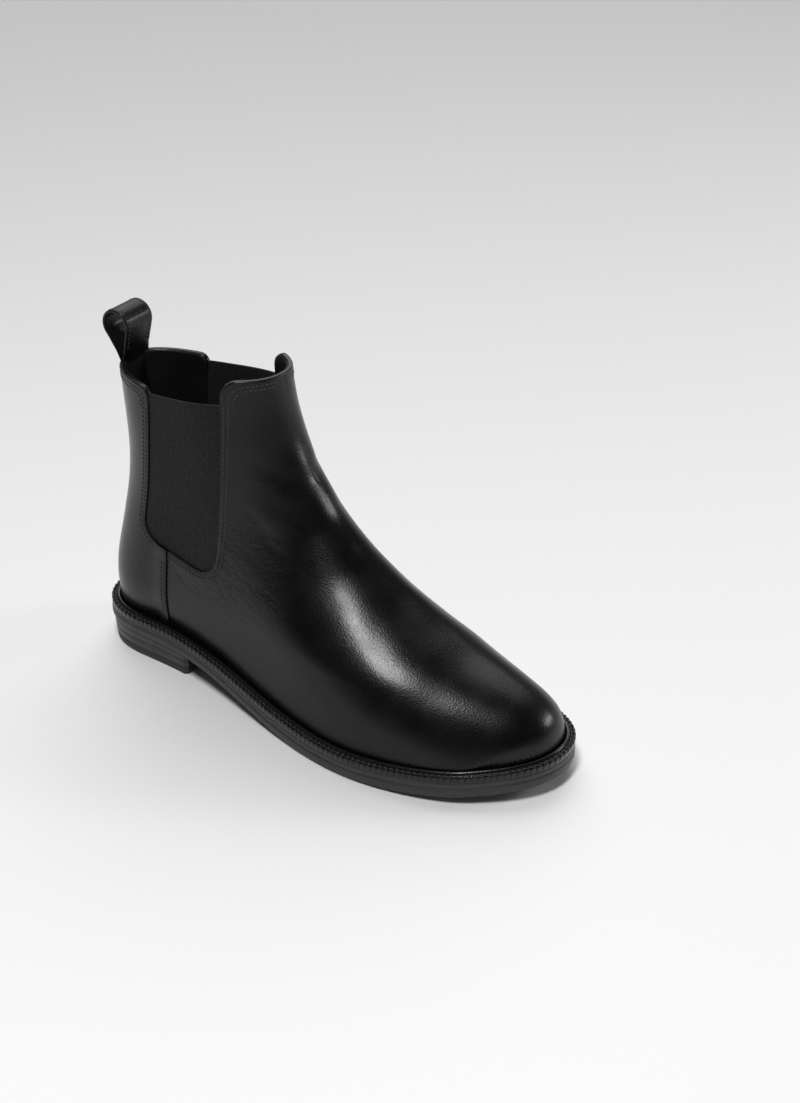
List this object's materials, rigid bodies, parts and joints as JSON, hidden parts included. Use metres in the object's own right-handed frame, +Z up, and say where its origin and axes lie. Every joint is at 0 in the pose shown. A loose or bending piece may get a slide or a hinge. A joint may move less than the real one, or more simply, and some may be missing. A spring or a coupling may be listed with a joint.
{
  "type": "chelsea boot",
  "caption": "Black leather ankle boot with elastic side gussets, a rear pull loop, a storm welt and a stacked heel; right foot.",
  "frame": {"origin": "centre of the footprint's box, on the floor", "axes": "+X towards the toe, +Y towards the medial side, +Z up"},
  "size_m": [0.3056, 0.1102, 0.2054],
  "materials": {
    "upper_leather": "gloss",
    "strap_leather": "satin",
    "lining_leather": "matte",
    "sock_leather": "matte",
    "lining_textile": "matte",
    "elastic": "matte",
    "welt_leather": "satin",
    "sole_leather": "matte",
    "heel_stack": "matte",
    "heel_rubber": "matte",
    "insole_board": "matte",
    "stiffener": "matte",
    "canvas_rib": "matte",
    "cork": "matte",
    "shank_steel": "satin",
    "nail_brass": "satin"
  },
  "bodies": {
    "boot": {"outsole": "sole_leather", "midsole": "sole_leather", "welt": "welt_leather", "insole_rib": "canvas_rib", "shank": "shank_steel", "cork_filler": "cork", "insole": "insole_board", "sock_liner": "sock_leather", "heel_nails": "nail_brass", "heel_top_piece": "heel_rubber", "heel_lift_lower": "heel_stack", "heel_lift_upper": "heel_stack", "vamp": "upper_leather", "vamp_lining": "lining_textile", "front_topline_binding": "upper_leather", "quarter_lining": "lining_leather", "rear_topline_binding": "upper_leather", "quarter_lateral": "upper_leather", "elastic_gusset_lateral": "elastic", "quarter_medial": "upper_leather", "elastic_gusset_medial": "elastic", "toe_puff": "stiffener", "heel_counter": "stiffener", "pull_loop_tail": "strap_leather"},
    "pull_loop": {"pull_loop": "strap_leather"}
  },
  "joints": [
    {"name": "pull_loop_fold", "type": "hinge", "parent": "boot", "child": "pull_loop", "pos_m": [-0.13702, 0.009, 0.1784], "axis": [0, 1, 0], "range_deg": [-40, 70], "stiffness_Nm_per_rad": 0.02}
  ]
}
